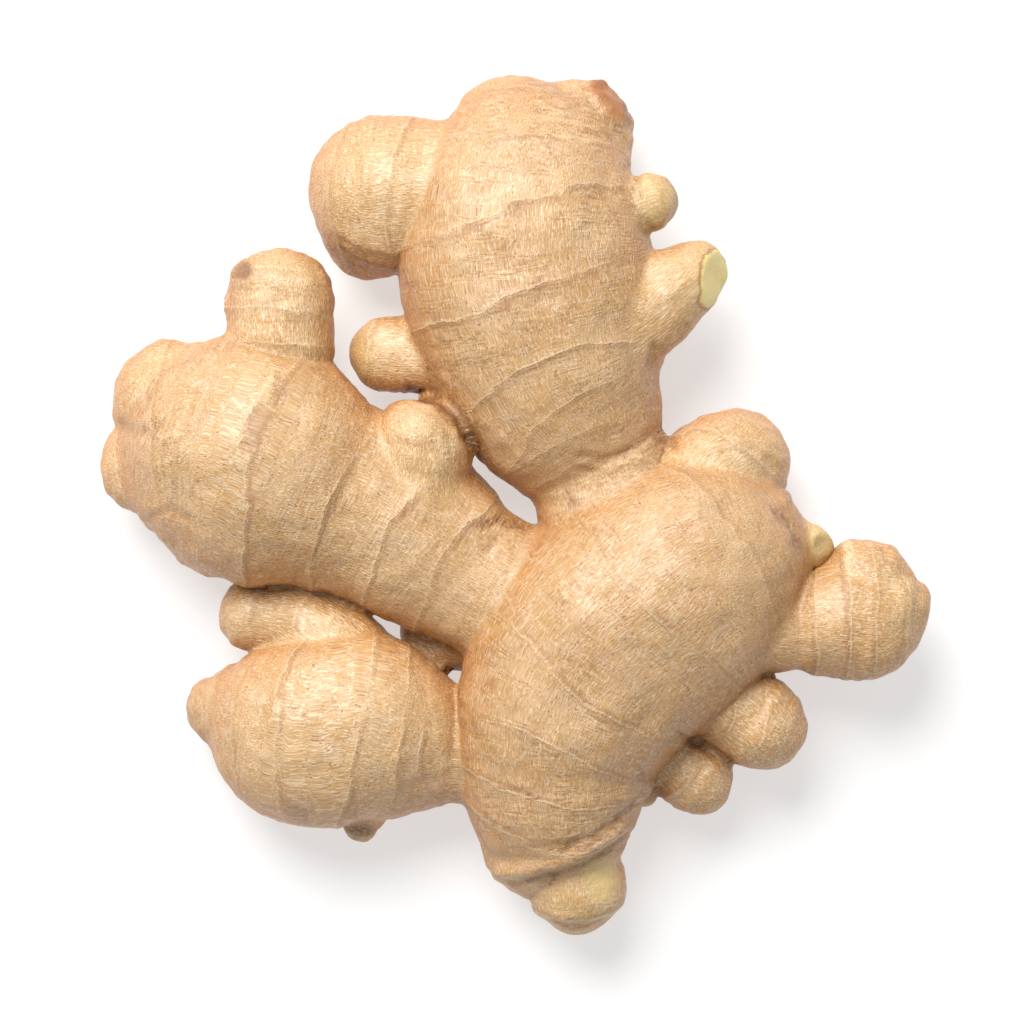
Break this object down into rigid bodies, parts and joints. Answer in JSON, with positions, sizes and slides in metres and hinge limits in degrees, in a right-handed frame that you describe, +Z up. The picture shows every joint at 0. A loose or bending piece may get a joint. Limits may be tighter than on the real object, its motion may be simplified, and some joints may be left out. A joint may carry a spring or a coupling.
{
  "type": "ginger root",
  "caption": "Whole fresh ginger root: a flat hand of stubby fingers and rounded knobs with ringed tan skin, lying on its side.",
  "frame": {"origin": "middle of the root seen from above, at the surface that it lies on", "axes": "+Z up from the surface, +Y from the growing tip towards the upper finger, +X towards the side with the small knobs"},
  "size_m": [0.146, 0.15, 0.036],
  "materials": {
    "ginger_skin": "thin dry papery skin of a fresh ginger root, tan, matt, with fine fibres along each finger and raised growth rings across it"
  },
  "bodies": {
    "root": {"ginger_root": "ginger_skin"}
  },
  "joints": []
}
